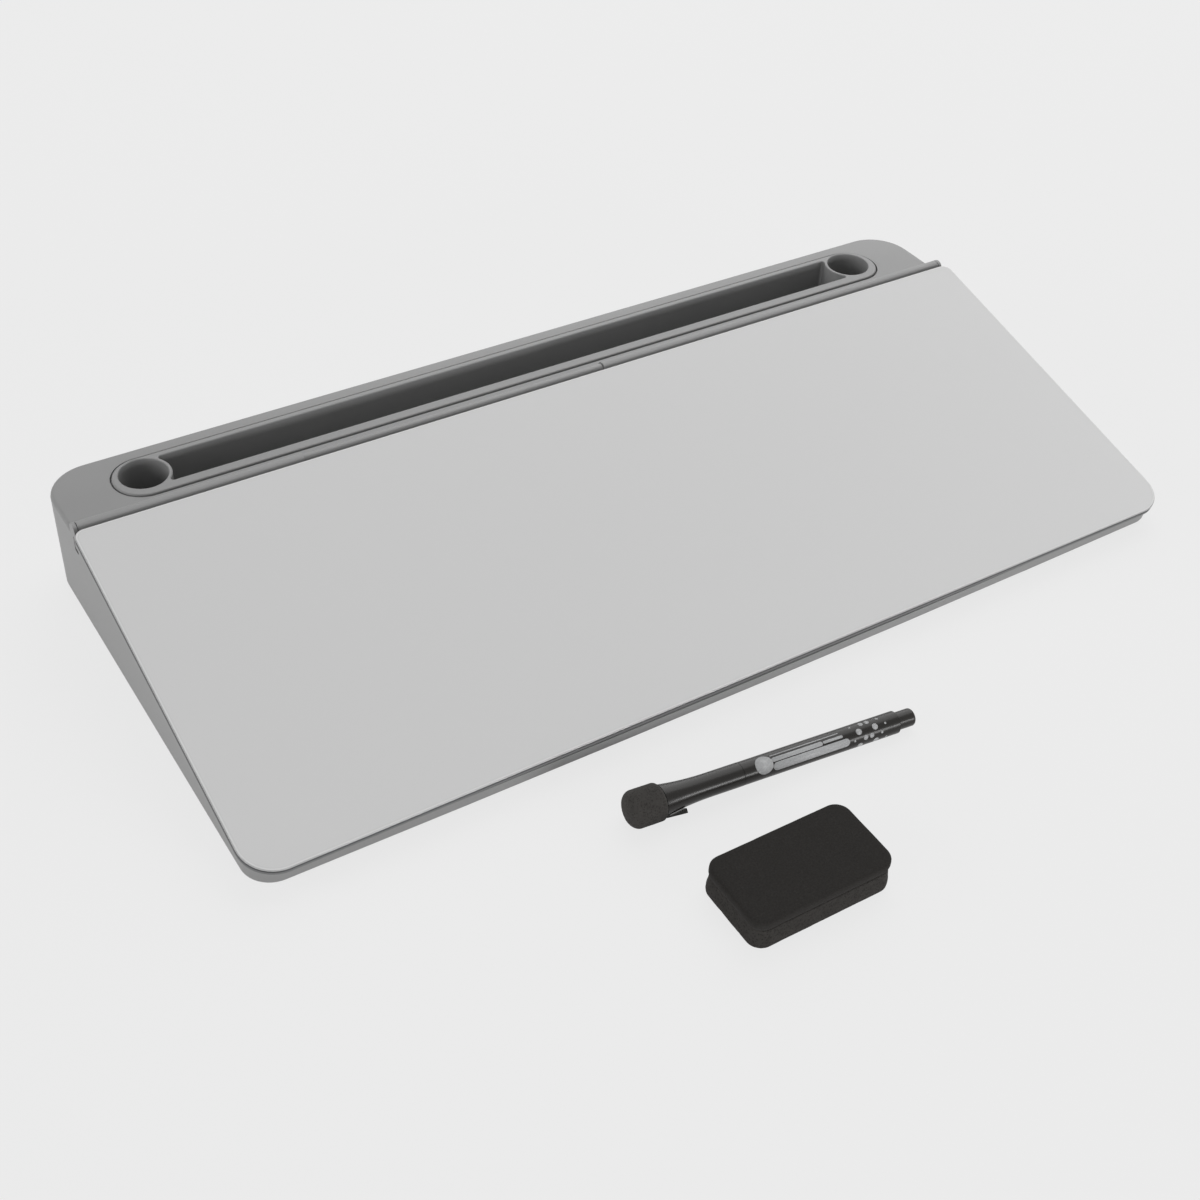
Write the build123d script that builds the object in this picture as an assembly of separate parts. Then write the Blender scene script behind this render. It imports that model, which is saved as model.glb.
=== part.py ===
from build123d import *
import os
from math import asin, cos, degrees, radians, sin

# Desktop glass whiteboard: a sloping glass writing surface hinged over a shallow storage well,
# with a lift-out pen tray in the deck behind it, and its dry-wipe marker and foam eraser lying
# on the desk in front. Millimetres; Z is up from the desk, +Y points to the back, X runs along
# the board. While it is modelled, Y is measured from the rear edge of the glass.

# Glass writing surface
GLASS_LENGTH = 440.0
GLASS_DEPTH = 165.2
GLASS_THICKNESS = 3.0
GLASS_TILT = 13.56
GLASS_FRONT_HEIGHT = 11.27
GLASS_FRONT_CORNER = 14.2
GLASS_REAR_CORNER = 4.5
GLASS_BEVEL = 0.4

# Lid frame that carries the glass
FRAME_SETBACK = 1.0
FRAME_THICKNESS = 2.0
FRAME_POCKET_DEPTH = 0.8
FRAME_RIM = 5.0
FRAME_EDGE_ROUND = 0.4
FILM_THICKNESS = 0.2
FILM_GAP = 0.3
TAPE_WIDTH = 18.0
TAPE_INSET = 6.0
LID_RIB_DEPTH = 3.0
LID_RIB_WIDTH = 1.6
LID_LONG_RIBS = 3
LID_CROSS_RIBS = 6
LID_RIB_CLEARANCE = 2.0

# Gap between the closed lid and the rim of the base, and the bumpers that keep it
PARTING_GAP = 0.4
BUMPER_RADIUS = 3.0
BUMPER_RECESS = 0.8
BUMPER_COUNT = 4
BUMPER_SIDE_MARGIN = 28.5
BUMPER_FROM_GLASS_EDGE = 12.5

# Hinge line
HINGE_GLASS_GAP = 1.3
HINGE_BELOW_GLASS_TOP = 2.9
BARREL_RADIUS = 3.0
KNUCKLE_RADIUS = 2.3
KNUCKLE_LEFT = -122.0
KNUCKLE_RIGHT = 21.6
KNUCKLE_END_GAP = 0.3
HINGE_ROD_RADIUS = 1.2
ROD_RUNNING_CLEARANCE = 0.05
ROD_FIT_CLEARANCE = 0.02
ROD_GRIP = 12.0
CHEEK_THICKNESS = 1.5
CHEEK_HOLE_DEPTH = 0.9
CHANNEL_CLEARANCE = 0.5
CHANNEL_WALL = 2.0

# Base housing
BASE_OVERHANG = 1.5
BASE_FRONT_SETBACK = 3.3
BASE_FRONT_BOW = 1.5
BASE_REAR = 46.5
BASE_FRONT_CORNER = 12.0
BASE_REAR_CORNER = 18.5
DECK_STEP = 4.93
DECK_THICKNESS = 2.4
DECK_EDGE_ROUND = 1.6
BOTTOM_EDGE_ROUND = 1.2
WALL = 2.6
FLANGE_THICKNESS = 2.0
PARTITION_FRONT = 7.2
PARTITION_THICKNESS = 2.2
FRONT_BEAM = 7.3
WELL_CORNER = 6.0
WELL_MOUTH_SIDE = 11.5
WELL_MOUTH_FRONT_MARGIN = 23.3
WELL_MOUTH_REAR = -5.0
END_SLOT_WIDTH = 0.9
END_SLOT_DEPTH = 0.8
END_SLOT_LENGTH = 6.0
END_SLOT_TOP = 1.0
END_SLOT_FOOT = 2.4

# Bottom cover, its screws and the rubber feet
FOOT_HEIGHT = 1.5
FOOT_RADIUS = 6.0
FOOT_RECESS = 0.6
FOOT_FIT = 0.1
FOOT_EDGE = 0.5
FOOT_SIDE_MARGIN = 28.5
FOOT_FRONT_MARGIN = 16.3
FOOT_REAR_MARGIN = 15.5
COVER_THICKNESS = 1.6
COVER_LEDGE = 0.7
COVER_GAP = 0.25
COVER_RIB_HEIGHT = 1.2
COVER_RIB_WIDTH = 1.6
COVER_RIB_SPACING = 45.0
COVER_RIB_COUNT = 8
COVER_BOSS_RADIUS = 3.4
COVER_BOSS_HEIGHT = 1.6
SCREW_HEAD_RADIUS = 2.3
SCREW_HEAD_HEIGHT = 1.4
SCREW_HEAD_RECESS = 1.6
SCREW_RADIUS = 1.3
SCREW_LENGTH = 5.4
SCREW_CLEARANCE = 0.15
SCREW_TIP_GAP = 0.65
SOCKET_RADIUS = 0.9
SOCKET_DEPTH = 0.8
SEAT_GAP = 0.05
HOUSING_BOSS_RADIUS = 4.2
BOSS_WALL_GAP = 0.3
SCREW_FRONT_X = 130.0
SCREW_FRONT_MARGIN = 17.8
SCREW_SIDE_Y = -70.0
SCREW_PARTITION_X = 100.0
SCREW_REAR_MARGIN = 24.5

# Lift-out pen tray
TRAY_END_MARGIN = 24.2
TRAY_FRONT = 13.65
TRAY_REAR_MARGIN = 7.1
TRAY_FLANGE = 2.0
TRAY_PROUD = 0.6
TRAY_CLEARANCE = 0.7
TRAY_LEDGE = 1.6
TRAY_BODY_GAP = 0.5
TRAY_WALL = 1.4
TRAY_FLOOR = 1.5
CUP_END_RIM = 3.0
CUP_FRONT_RIM = 4.3
CUP_REAR_RIM = 1.25
CUP_WALL = 1.0
CUP_RING = 1.35
CUP_GROUND_GAP = 3.5
TROUGH_FRONT_RIM = 4.88
TROUGH_REAR_RIM = 2.88
TROUGH_GROUND_GAP = 7.5
TROUGH_CORNER = 1.2
CUP_FLOOR_ROUND = 2.0
TRAY_EDGE = 0.3
TRAY_RIM_ROUND = 0.7

# Dry-wipe marker, measured along its own axis from the end of the foam tip
MARKER_TIP_X = -91.1
MARKER_TIP_FROM_GLASS = 32.9
MARKER_HEADING = -4.9
FOAM_RADIUS = 7.3
FOAM_LENGTH = 14.4
FOAM_END_ROUND = 4.2
FOAM_BACK_ROUND = 1.6
FOAM_GRIP_RADIUS = 4.0
FOAM_GRIP_LENGTH = 8.0
FOAM_GRIP_GAP = 0.05
CAP_LENGTH = 33.5
CAP_FOAM_RADIUS = 6.1
CAP_MOUTH_RADIUS = 4.55
CAP_FLARE_LENGTH = 20.0
CAP_FLARE_SLOPE = 0.16
CAP_PARTING_GAP = 0.15
CAP_FIT = 0.08
CAP_END_WALL = 2.6
CLIP_LENGTH = 8.3
CLIP_WIDTH = 4.0
CLIP_THICKNESS = 1.8
CLIP_REACH = 7.1
CLIP_ROOT = 1.2
CLIP_ROOT_REACH = 6.5
CLIP_TURN = 45.0
BARREL_BODY_RADIUS = 4.5
BARREL_BODY_LENGTH = 70.2
BARREL_BORE_RADIUS = 3.6
BARREL_EDGE = 0.4
SPIGOT_RADIUS = 4.0
SPIGOT_LENGTH = 9.0
PLUG_RADIUS = 3.55
PLUG_LENGTH = 7.9
PLUG_INSERT_LENGTH = 6.0
PLUG_END_ROUND = 1.2
MARKER_FIT = 0.05
HOLDER_NOSE_LENGTH = 5.0
HOLDER_NOSE_RADIUS = 2.5
HOLDER_COLLAR = 0.8
HOLDER_INSERT_LENGTH = 10.0
NIB_RADIUS = 1.5
NIB_PROUD = 4.0
NIB_TAIL = 12.0
NIB_ROUND = 1.1
RESERVOIR_RADIUS = 3.3
RESERVOIR_GAP = 0.5

# Foam eraser, lying with its felt face up
ERASER_X = -53.6
ERASER_FROM_GLASS = 86.2
ERASER_TURN = -0.6
ERASER_LENGTH = 61.6
ERASER_WIDTH = 34.4
ERASER_CORNER = 6.6
ERASER_FOAM_HEIGHT = 8.8
ERASER_FELT_HEIGHT = 4.8
ERASER_SOLE = 2.0
ERASER_LEAN = 8.4
ERASER_EDGE = 0.9
FELT_INSET = 0.5

# Values that follow from the sizes above
TILT = radians(GLASS_TILT)
GLASS_FRONT = -GLASS_DEPTH * cos(TILT)
GLASS_REAR_HEIGHT = GLASS_FRONT_HEIGHT + GLASS_DEPTH * sin(TILT)
DECK_HEIGHT = GLASS_REAR_HEIGHT - DECK_STEP
GLASS_HALF = GLASS_LENGTH / 2
BASE_HALF = GLASS_HALF - BASE_OVERHANG
FRAME_HALF = GLASS_HALF - FRAME_SETBACK
FRAME_BOTTOM = GLASS_THICKNESS + FRAME_THICKNESS
RIM_DROP = FRAME_BOTTOM + PARTING_GAP
RIB_BOTTOM = FRAME_BOTTOM + LID_RIB_DEPTH
HINGE_Y = BARREL_RADIUS + HINGE_GLASS_GAP
HINGE_Z = GLASS_REAR_HEIGHT - HINGE_BELOW_GLASS_TOP
HINGE_ALONG_SLOPE = HINGE_Y * cos(TILT) - HINGE_BELOW_GLASS_TOP * sin(TILT)
CHEEK_INNER = BASE_HALF - CHEEK_THICKNESS
CHANNEL_RADIUS = BARREL_RADIUS + CHANNEL_CLEARANCE
BASE_FRONT = GLASS_FRONT + BASE_FRONT_SETBACK
BASE_BOTTOM = FOOT_HEIGHT
COVER_SEAT = BASE_BOTTOM + COVER_THICKNESS
BOSS_SEAT = COVER_SEAT + COVER_BOSS_HEIGHT
HEAD_SEAT = BASE_BOTTOM + SCREW_HEAD_RECESS - SEAT_GAP
SCREW_END = HEAD_SEAT + SCREW_LENGTH
PARTITION_REAR = PARTITION_FRONT + PARTITION_THICKNESS
WELL_FRONT = BASE_FRONT + FRONT_BEAM
WELL_MOUTH_FRONT = BASE_FRONT + WELL_MOUTH_FRONT_MARGIN
TRAY_TOP = DECK_HEIGHT + TRAY_PROUD
TRAY_HALF_LENGTH = BASE_HALF - TRAY_END_MARGIN
TRAY_REAR = BASE_REAR - TRAY_REAR_MARGIN
TRAY_Y = (TRAY_FRONT + TRAY_REAR) / 2
TRAY_END_RADIUS = (TRAY_REAR - TRAY_FRONT) / 2
CUP_RADIUS = TRAY_END_RADIUS - (CUP_FRONT_RIM + CUP_REAR_RIM) / 2
CUP_X = TRAY_HALF_LENGTH - CUP_END_RIM - CUP_RADIUS
CUP_Y = TRAY_REAR - CUP_REAR_RIM - CUP_RADIUS
CUP_FLOOR = COVER_SEAT + CUP_GROUND_GAP + TRAY_FLOOR
TROUGH_FRONT = TRAY_FRONT + TROUGH_FRONT_RIM
TROUGH_REAR = TRAY_REAR - TROUGH_REAR_RIM
TROUGH_FLOOR = COVER_SEAT + TROUGH_GROUND_GAP + TRAY_FLOOR
ERASER_Y = GLASS_FRONT - ERASER_FROM_GLASS
ERASER_SIN = abs(sin(radians(ERASER_TURN)))
ERASER_COS = cos(radians(ERASER_TURN))
ERASER_REACH = (ERASER_WIDTH * ERASER_COS + ERASER_LENGTH * ERASER_SIN) / 2
ERASER_FRONT = ERASER_Y - ERASER_REACH + ERASER_CORNER * (ERASER_COS + ERASER_SIN - 1)
MIDDLE_Y = (BASE_REAR + ERASER_FRONT) / 2

# The slope of the glass: local z = 0 is its top face and local y = 0 its rear edge
SLOPE = Pos(0, 0, GLASS_REAR_HEIGHT) * Rot(GLASS_TILT, 0, 0)
UP = (Align.CENTER, Align.CENTER, Align.MIN)
FAR = 3 * GLASS_LENGTH

# Where the eraser lies
ERASER = Pos(ERASER_X, ERASER_Y, 0) * Rot(0, 0, ERASER_TURN)


def plan_outline(half_width, front, rear, front_radius, rear_radius):
    """A board outline seen from above, with its own corner radius at each end."""
    plate = Pos(0, (front + rear) / 2) * Rectangle(2 * half_width, rear - front)
    plate = fillet(plate.vertices().group_by(Axis.Y)[0], front_radius)
    return fillet(plate.vertices().group_by(Axis.Y)[-1], rear_radius)


def column(outline, bottom, top):
    """An outline seen from above, raised between two heights."""
    return Pos(0, 0, bottom) * extrude(outline, top - bottom)


def above_slope(drop):
    """Everything higher than a plane that lies this far below the face of the glass."""
    return SLOPE * Pos(0, 0, -drop) * Box(FAR, FAR, FAR / 4, align=UP)


def along_x(radius, start, end, y, z):
    """A round bar along X between two stations."""
    return Pos((start + end) / 2, y, z) * Rot(0, 90, 0) * Cylinder(radius, end - start)


def hinge_bar(radius, start, end):
    """A round bar on the hinge axis."""
    return along_x(radius, start, end, HINGE_Y, HINGE_Z)


def upright(radius, x, y, bottom, top):
    """A round post between two heights."""
    return Pos(x, y, bottom) * Cylinder(radius, top - bottom, align=UP)


def screw_points():
    """Where the screws of the bottom cover stand, left and right."""
    off_wall = COVER_BOSS_RADIUS + BOSS_WALL_GAP
    at_side = BASE_HALF - WALL - off_wall
    right = (
        (SCREW_FRONT_X, BASE_FRONT + SCREW_FRONT_MARGIN),
        (at_side, SCREW_SIDE_Y),
        (SCREW_PARTITION_X, PARTITION_FRONT - off_wall),
        (at_side, BASE_REAR - SCREW_REAR_MARGIN),
    )
    return [(side * x, y) for x, y in right for side in (-1, 1)]


def foot_points():
    """Where the four rubber feet stand."""
    half = BASE_HALF - FOOT_SIDE_MARGIN
    lines = (BASE_FRONT + FOOT_FRONT_MARGIN, BASE_REAR - FOOT_REAR_MARGIN)
    return [(side * half, y) for y in lines for side in (-1, 1)]


def bumper_stations():
    """Where the bumpers stand along the front rim, evenly spread."""
    half = BASE_HALF - BUMPER_SIDE_MARGIN
    return [half * (2 * index / (BUMPER_COUNT - 1) - 1) for index in range(BUMPER_COUNT)]


def tray_outline(growth):
    """The stadium outline of the pen tray, grown or shrunk all round."""
    slot = SlotCenterToCenter(2 * (TRAY_HALF_LENGTH - TRAY_END_RADIUS), 2 * (TRAY_END_RADIUS + growth))
    return Pos(0, TRAY_Y) * slot


def cups(radius):
    """Circles of one radius on the two pen cups."""
    return Pos(-CUP_X, CUP_Y) * Circle(radius) + Pos(CUP_X, CUP_Y) * Circle(radius)


def trough_outline(growth):
    """The long trough between the cups, before the rings of the cups bite into its ends."""
    middle = (TROUGH_FRONT + TROUGH_REAR) / 2
    return Pos(0, middle) * Rectangle(2 * CUP_X, TROUGH_REAR - TROUGH_FRONT + 2 * growth)


def front_bow():
    """The slight outward bow of the front wall of the base, between its rounded corners."""
    half = BASE_HALF - BASE_FRONT_CORNER
    bow = ThreePointArc((-half, BASE_FRONT), (0, BASE_FRONT - BASE_FRONT_BOW), (half, BASE_FRONT))
    return make_face([bow, Line((half, BASE_FRONT), (-half, BASE_FRONT))])


def base_block():
    """The outside of the base: upright walls, rounded deck edge, top cut to the slope."""
    outline = plan_outline(BASE_HALF, BASE_FRONT, BASE_REAR, BASE_FRONT_CORNER, BASE_REAR_CORNER)
    outline += front_bow()
    block = column(outline, BASE_BOTTOM, DECK_HEIGHT)
    block = fillet(block.edges().group_by(Axis.Z)[-1], DECK_EDGE_ROUND)
    block = fillet(block.edges().group_by(Axis.Z)[0], BOTTOM_EDGE_ROUND)
    return block - above_slope(RIM_DROP)


def cover_outline(growth):
    """The outline in which the bottom cover lies."""
    inset = WALL - COVER_LEDGE
    return plan_outline(
        BASE_HALF - inset + growth,
        BASE_FRONT + inset - growth,
        BASE_REAR - inset + growth,
        BASE_FRONT_CORNER - inset + growth,
        BASE_REAR_CORNER - inset + growth,
    )


def storage_well():
    """The space under the lid, from the bottom cover up to the rim flange."""
    half = BASE_HALF - WALL
    outline = plan_outline(half, WELL_FRONT, PARTITION_FRONT, WELL_CORNER, WELL_CORNER / 2)
    return column(outline, BASE_BOTTOM, GLASS_REAR_HEIGHT) - above_slope(RIM_DROP + FLANGE_THICKNESS)


def well_mouth():
    """The opening in the rim through which the storage well is reached."""
    half = BASE_HALF - WELL_MOUTH_SIDE
    outline = plan_outline(half, WELL_MOUTH_FRONT, WELL_MOUTH_REAR, WELL_CORNER, WELL_CORNER)
    return column(outline, COVER_SEAT, GLASS_REAR_HEIGHT)


def tray_chamber():
    """The closed space under the deck, behind the partition."""
    half = BASE_HALF - WALL
    inner_corner = BASE_REAR_CORNER - WALL
    outline = plan_outline(half, PARTITION_REAR, BASE_REAR - WALL, WELL_CORNER / 2, inner_corner)
    return column(outline, BASE_BOTTOM, DECK_HEIGHT - DECK_THICKNESS)


def end_slots():
    """The narrow relief slot with a round foot below each end of the hinge line."""
    slot_top = DECK_HEIGHT - END_SLOT_TOP
    slot_bottom = slot_top - END_SLOT_LENGTH
    narrow = Pos(HINGE_Y, (slot_top + slot_bottom) / 2) * Rectangle(END_SLOT_WIDTH, END_SLOT_LENGTH)
    foot = Pos(HINGE_Y - END_SLOT_FOOT / 2, slot_bottom)
    foot = foot * SlotOverall(END_SLOT_FOOT + 2 * END_SLOT_WIDTH, 2 * END_SLOT_WIDTH)
    cutter = extrude(Plane.YZ * (narrow + foot), END_SLOT_DEPTH)
    right = Pos(BASE_HALF - END_SLOT_DEPTH, 0, 0) * cutter
    left = Pos(-BASE_HALF, 0, 0) * cutter
    return right + left


def hinge_cheeks():
    """The closed ends of the hinge line, round on top and standing on the side walls."""
    profile = Pos(HINGE_Y, HINGE_Z) * Circle(BARREL_RADIUS)
    stand_height = HINGE_Z - DECK_HEIGHT + DECK_EDGE_ROUND + BARREL_RADIUS / 2
    stand = Pos(HINGE_Y, HINGE_Z - stand_height / 2) * Rectangle(2 * BARREL_RADIUS, stand_height)
    cheek = extrude(Plane.YZ * (profile + stand), CHEEK_THICKNESS)
    pair = Pos(CHEEK_INNER, 0, 0) * cheek + Pos(-BASE_HALF, 0, 0) * cheek
    hole = HINGE_ROD_RADIUS + ROD_FIT_CLEARANCE
    reach = CHEEK_INNER + CHEEK_HOLE_DEPTH
    return pair - hinge_bar(hole, -reach, reach)


def centre_knuckle():
    """The part of the hinge line that belongs to the base, with the bores for both rods."""
    length = KNUCKLE_RIGHT - KNUCKLE_LEFT
    middle = (KNUCKLE_LEFT + KNUCKLE_RIGHT) / 2
    stand_height = CHANNEL_RADIUS + CHANNEL_WALL / 2
    stand = Pos(middle, HINGE_Y, HINGE_Z - stand_height / 2) * Box(length, 2 * KNUCKLE_RADIUS, stand_height)
    knuckle = hinge_bar(KNUCKLE_RADIUS, KNUCKLE_LEFT, KNUCKLE_RIGHT) + stand
    hole = HINGE_ROD_RADIUS + ROD_FIT_CLEARANCE
    knuckle -= hinge_bar(hole, KNUCKLE_LEFT, KNUCKLE_LEFT + ROD_GRIP)
    knuckle -= hinge_bar(hole, KNUCKLE_RIGHT - ROD_GRIP, KNUCKLE_RIGHT)
    return knuckle


def base_housing():
    block = base_block()
    shell = block - storage_well() - tray_chamber()
    for x, y in screw_points():
        boss = upright(HOUSING_BOSS_RADIUS, x, y, BOSS_SEAT, GLASS_REAR_HEIGHT)
        shell += boss & block
    shell += block & hinge_bar(CHANNEL_RADIUS + CHANNEL_WALL, -BASE_HALF, BASE_HALF)
    skirt_bottom = DECK_HEIGHT - TRAY_FLANGE - TRAY_LEDGE
    shell += column(tray_outline(TRAY_CLEARANCE + TRAY_LEDGE), skirt_bottom, DECK_HEIGHT)
    shell -= well_mouth()
    shell -= hinge_bar(CHANNEL_RADIUS, -CHEEK_INNER, CHEEK_INNER)
    shell += hinge_cheeks()
    shell += centre_knuckle()
    shell -= column(tray_outline(TRAY_CLEARANCE), DECK_HEIGHT - TRAY_FLANGE, GLASS_REAR_HEIGHT)
    tray_body = trough_outline(TRAY_WALL + TRAY_BODY_GAP) + cups(CUP_RADIUS + CUP_WALL + TRAY_BODY_GAP)
    shell -= column(tray_body, skirt_bottom - DECK_THICKNESS, DECK_HEIGHT - TRAY_FLANGE)
    shell -= column(cover_outline(0), BASE_BOTTOM, COVER_SEAT)
    for x, y in screw_points():
        shell -= upright(SCREW_RADIUS, x, y, BOSS_SEAT, SCREW_END + SCREW_TIP_GAP)
    for x in bumper_stations():
        line = BUMPER_FROM_GLASS_EDGE - GLASS_DEPTH
        shell -= SLOPE * upright(BUMPER_RADIUS, x, line, -RIM_DROP - BUMPER_RECESS, -RIM_DROP + PARTING_GAP)
    return shell - end_slots()


def lid_bumper(x):
    line = BUMPER_FROM_GLASS_EDGE - GLASS_DEPTH
    bumper = upright(BUMPER_RADIUS, x, line, -RIM_DROP - BUMPER_RECESS, -FRAME_BOTTOM - SEAT_GAP)
    return SLOPE * chamfer(bumper.edges().group_by(Axis.Z)[-1], PARTING_GAP / 2)


def lid_bumpers():
    return [lid_bumper(x) for x in bumper_stations()]


def bottom_cover():
    cover = column(cover_outline(-COVER_GAP), BASE_BOTTOM, COVER_SEAT)
    rib_front = WELL_FRONT + WELL_CORNER
    rib_rear = PARTITION_FRONT - WELL_CORNER
    rib = Pos(0, (rib_front + rib_rear) / 2, COVER_SEAT)
    rib = rib * Box(COVER_RIB_WIDTH, rib_rear - rib_front, COVER_RIB_HEIGHT, align=UP)
    for index in range(COVER_RIB_COUNT):
        cover += Pos((index - (COVER_RIB_COUNT - 1) / 2) * COVER_RIB_SPACING, 0, 0) * rib
    for x, y in screw_points():
        cover += upright(COVER_BOSS_RADIUS, x, y, BASE_BOTTOM, BOSS_SEAT)
    for x, y in screw_points():
        cover -= upright(SCREW_HEAD_RADIUS + SCREW_CLEARANCE, x, y, BASE_BOTTOM, BASE_BOTTOM + SCREW_HEAD_RECESS)
        cover -= upright(SCREW_RADIUS + SCREW_CLEARANCE, x, y, BASE_BOTTOM, BOSS_SEAT)
    for x, y in foot_points():
        cover -= upright(FOOT_RADIUS + FOOT_FIT, x, y, BASE_BOTTOM, BASE_BOTTOM + FOOT_RECESS)
    return cover


def cover_screw(x, y):
    """A pan-head screw with a hexagon socket, driven up into the housing."""
    head_bottom = HEAD_SEAT - SCREW_HEAD_HEIGHT
    head = upright(SCREW_HEAD_RADIUS, x, y, head_bottom, HEAD_SEAT)
    head = chamfer(head.edges().group_by(Axis.Z)[0], SCREW_HEAD_HEIGHT / 3)
    screw = head + upright(SCREW_RADIUS, x, y, HEAD_SEAT, SCREW_END)
    return screw - column(Pos(x, y) * RegularPolygon(SOCKET_RADIUS, 6), head_bottom, head_bottom + SOCKET_DEPTH)


def cover_screws():
    return [cover_screw(x, y) for x, y in screw_points()]


def rubber_foot(x, y):
    foot = upright(FOOT_RADIUS, x, y, 0, FOOT_HEIGHT + FOOT_RECESS - SEAT_GAP)
    return chamfer(foot.edges().group_by(Axis.Z)[0], FOOT_EDGE)


def rubber_feet():
    return [rubber_foot(x, y) for x, y in foot_points()]


def hinge_rod_left():
    start = -CHEEK_INNER - CHEEK_HOLE_DEPTH
    return hinge_bar(HINGE_ROD_RADIUS, start, KNUCKLE_LEFT + ROD_GRIP)


def hinge_rod_right():
    end = CHEEK_INNER + CHEEK_HOLE_DEPTH
    return hinge_bar(HINGE_ROD_RADIUS, KNUCKLE_RIGHT - ROD_GRIP, end)


def barrel_spans():
    """The two stretches of the hinge line that belong to the lid."""
    outer = CHEEK_INNER - KNUCKLE_END_GAP
    return (-outer, KNUCKLE_LEFT - KNUCKLE_END_GAP), (KNUCKLE_RIGHT + KNUCKLE_END_GAP, outer)


def lid_frame():
    front_radius = GLASS_FRONT_CORNER - FRAME_SETBACK
    rear_radius = GLASS_REAR_CORNER - FRAME_SETBACK
    front = FRAME_SETBACK - GLASS_DEPTH
    plate = column(
        plan_outline(FRAME_HALF, front, 0, front_radius, rear_radius), -FRAME_BOTTOM, -GLASS_THICKNESS
    )
    plate = fillet(plate.edges().group_by(Axis.Z)[0], FRAME_EDGE_ROUND)
    pocket_floor = -GLASS_THICKNESS - FRAME_POCKET_DEPTH
    plate -= column(pocket_outline(0), pocket_floor, 0)
    mouth_half = BASE_HALF - WELL_MOUTH_SIDE - LID_RIB_CLEARANCE
    slope_stretch = 1 / cos(TILT)
    ribs_front = WELL_MOUTH_FRONT * slope_stretch + LID_RIB_CLEARANCE
    ribs_rear = WELL_MOUTH_REAR * slope_stretch - LID_RIB_CLEARANCE - LID_RIB_DEPTH
    ribs_middle = (ribs_front + ribs_rear) / 2
    ribs_depth = ribs_rear - ribs_front
    cross_rib = Pos(0, ribs_middle, -RIB_BOTTOM) * Box(LID_RIB_WIDTH, ribs_depth, LID_RIB_DEPTH, align=UP)
    long_rib = Pos(0, 0, -RIB_BOTTOM) * Box(2 * mouth_half, LID_RIB_WIDTH, LID_RIB_DEPTH, align=UP)
    last_cross = mouth_half - LID_RIB_WIDTH / 2
    for index in range(LID_CROSS_RIBS):
        share = index / (LID_CROSS_RIBS - 1)
        plate += Pos((2 * share - 1) * last_cross, 0, 0) * cross_rib
    for index in range(LID_LONG_RIBS):
        share = index / (LID_LONG_RIBS - 1)
        line = ribs_front + LID_RIB_WIDTH / 2 + share * (ribs_depth - LID_RIB_WIDTH)
        plate += Pos(0, line, 0) * long_rib
    frame = SLOPE * plate
    for start, end in barrel_spans():
        tail_length = HINGE_ALONG_SLOPE + FRAME_RIM
        tail = Pos((start + end) / 2, HINGE_ALONG_SLOPE - tail_length / 2, -FRAME_BOTTOM)
        tail = tail * Box(end - start, tail_length, FRAME_THICKNESS, align=UP)
        frame += SLOPE * tail
        frame += hinge_bar(BARREL_RADIUS, start, end)
        frame -= hinge_bar(HINGE_ROD_RADIUS + ROD_RUNNING_CLEARANCE, start, end)
    return frame


def pocket_outline(growth):
    """The shallow pocket of the lid frame in which the film and the tape lie."""
    inset = FRAME_RIM - growth
    corner = max(GLASS_FRONT_CORNER - FRAME_SETBACK - inset, GLASS_BEVEL)
    return plan_outline(FRAME_HALF - inset, FRAME_SETBACK - GLASS_DEPTH + inset, -inset, corner, GLASS_REAR_CORNER)


def glass_panel():
    outline = plan_outline(GLASS_HALF, -GLASS_DEPTH, 0, GLASS_FRONT_CORNER, GLASS_REAR_CORNER)
    panel = column(outline, -GLASS_THICKNESS, 0)
    panel = chamfer(panel.edges().group_by(Axis.Z)[-1], GLASS_BEVEL)
    panel = chamfer(panel.edges().group_by(Axis.Z)[0], GLASS_BEVEL)
    return SLOPE * panel


def backing_film():
    return SLOPE * column(pocket_outline(-FILM_GAP), -GLASS_THICKNESS - FILM_THICKNESS, -GLASS_THICKNESS)


def mounting_tape():
    """Four strips of foam tape between the film and the floor of the pocket."""
    bottom = -GLASS_THICKNESS - FRAME_POCKET_DEPTH
    top = -GLASS_THICKNESS - FILM_THICKNESS
    half = FRAME_HALF - FRAME_RIM - TAPE_INSET
    front = FRAME_SETBACK - GLASS_DEPTH + FRAME_RIM + TAPE_INSET
    rear = -FRAME_RIM - TAPE_INSET
    long_strip = Rectangle(2 * half, TAPE_WIDTH)
    short_strip = Rectangle(TAPE_WIDTH, rear - front - 2 * TAPE_WIDTH)
    outlines = [
        Pos(0, front + TAPE_WIDTH / 2) * long_strip,
        Pos(0, rear - TAPE_WIDTH / 2) * long_strip,
        Pos(TAPE_WIDTH / 2 - half, (front + rear) / 2) * short_strip,
        Pos(half - TAPE_WIDTH / 2, (front + rear) / 2) * short_strip,
    ]
    return [SLOPE * column(outline, bottom, top) for outline in outlines]


def tray_hollow(outline, floor, floor_round):
    """A hollow of the tray: rounded round its floor and eased at its mouth."""
    hollow = column(outline, floor, TRAY_TOP)
    hollow = fillet(hollow.edges().group_by(Axis.Z)[0], floor_round)
    mouth = Pos(0, 0, TRAY_TOP - TRAY_EDGE) * extrude(outline, TRAY_EDGE, taper=-45)
    return hollow + mouth


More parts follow.
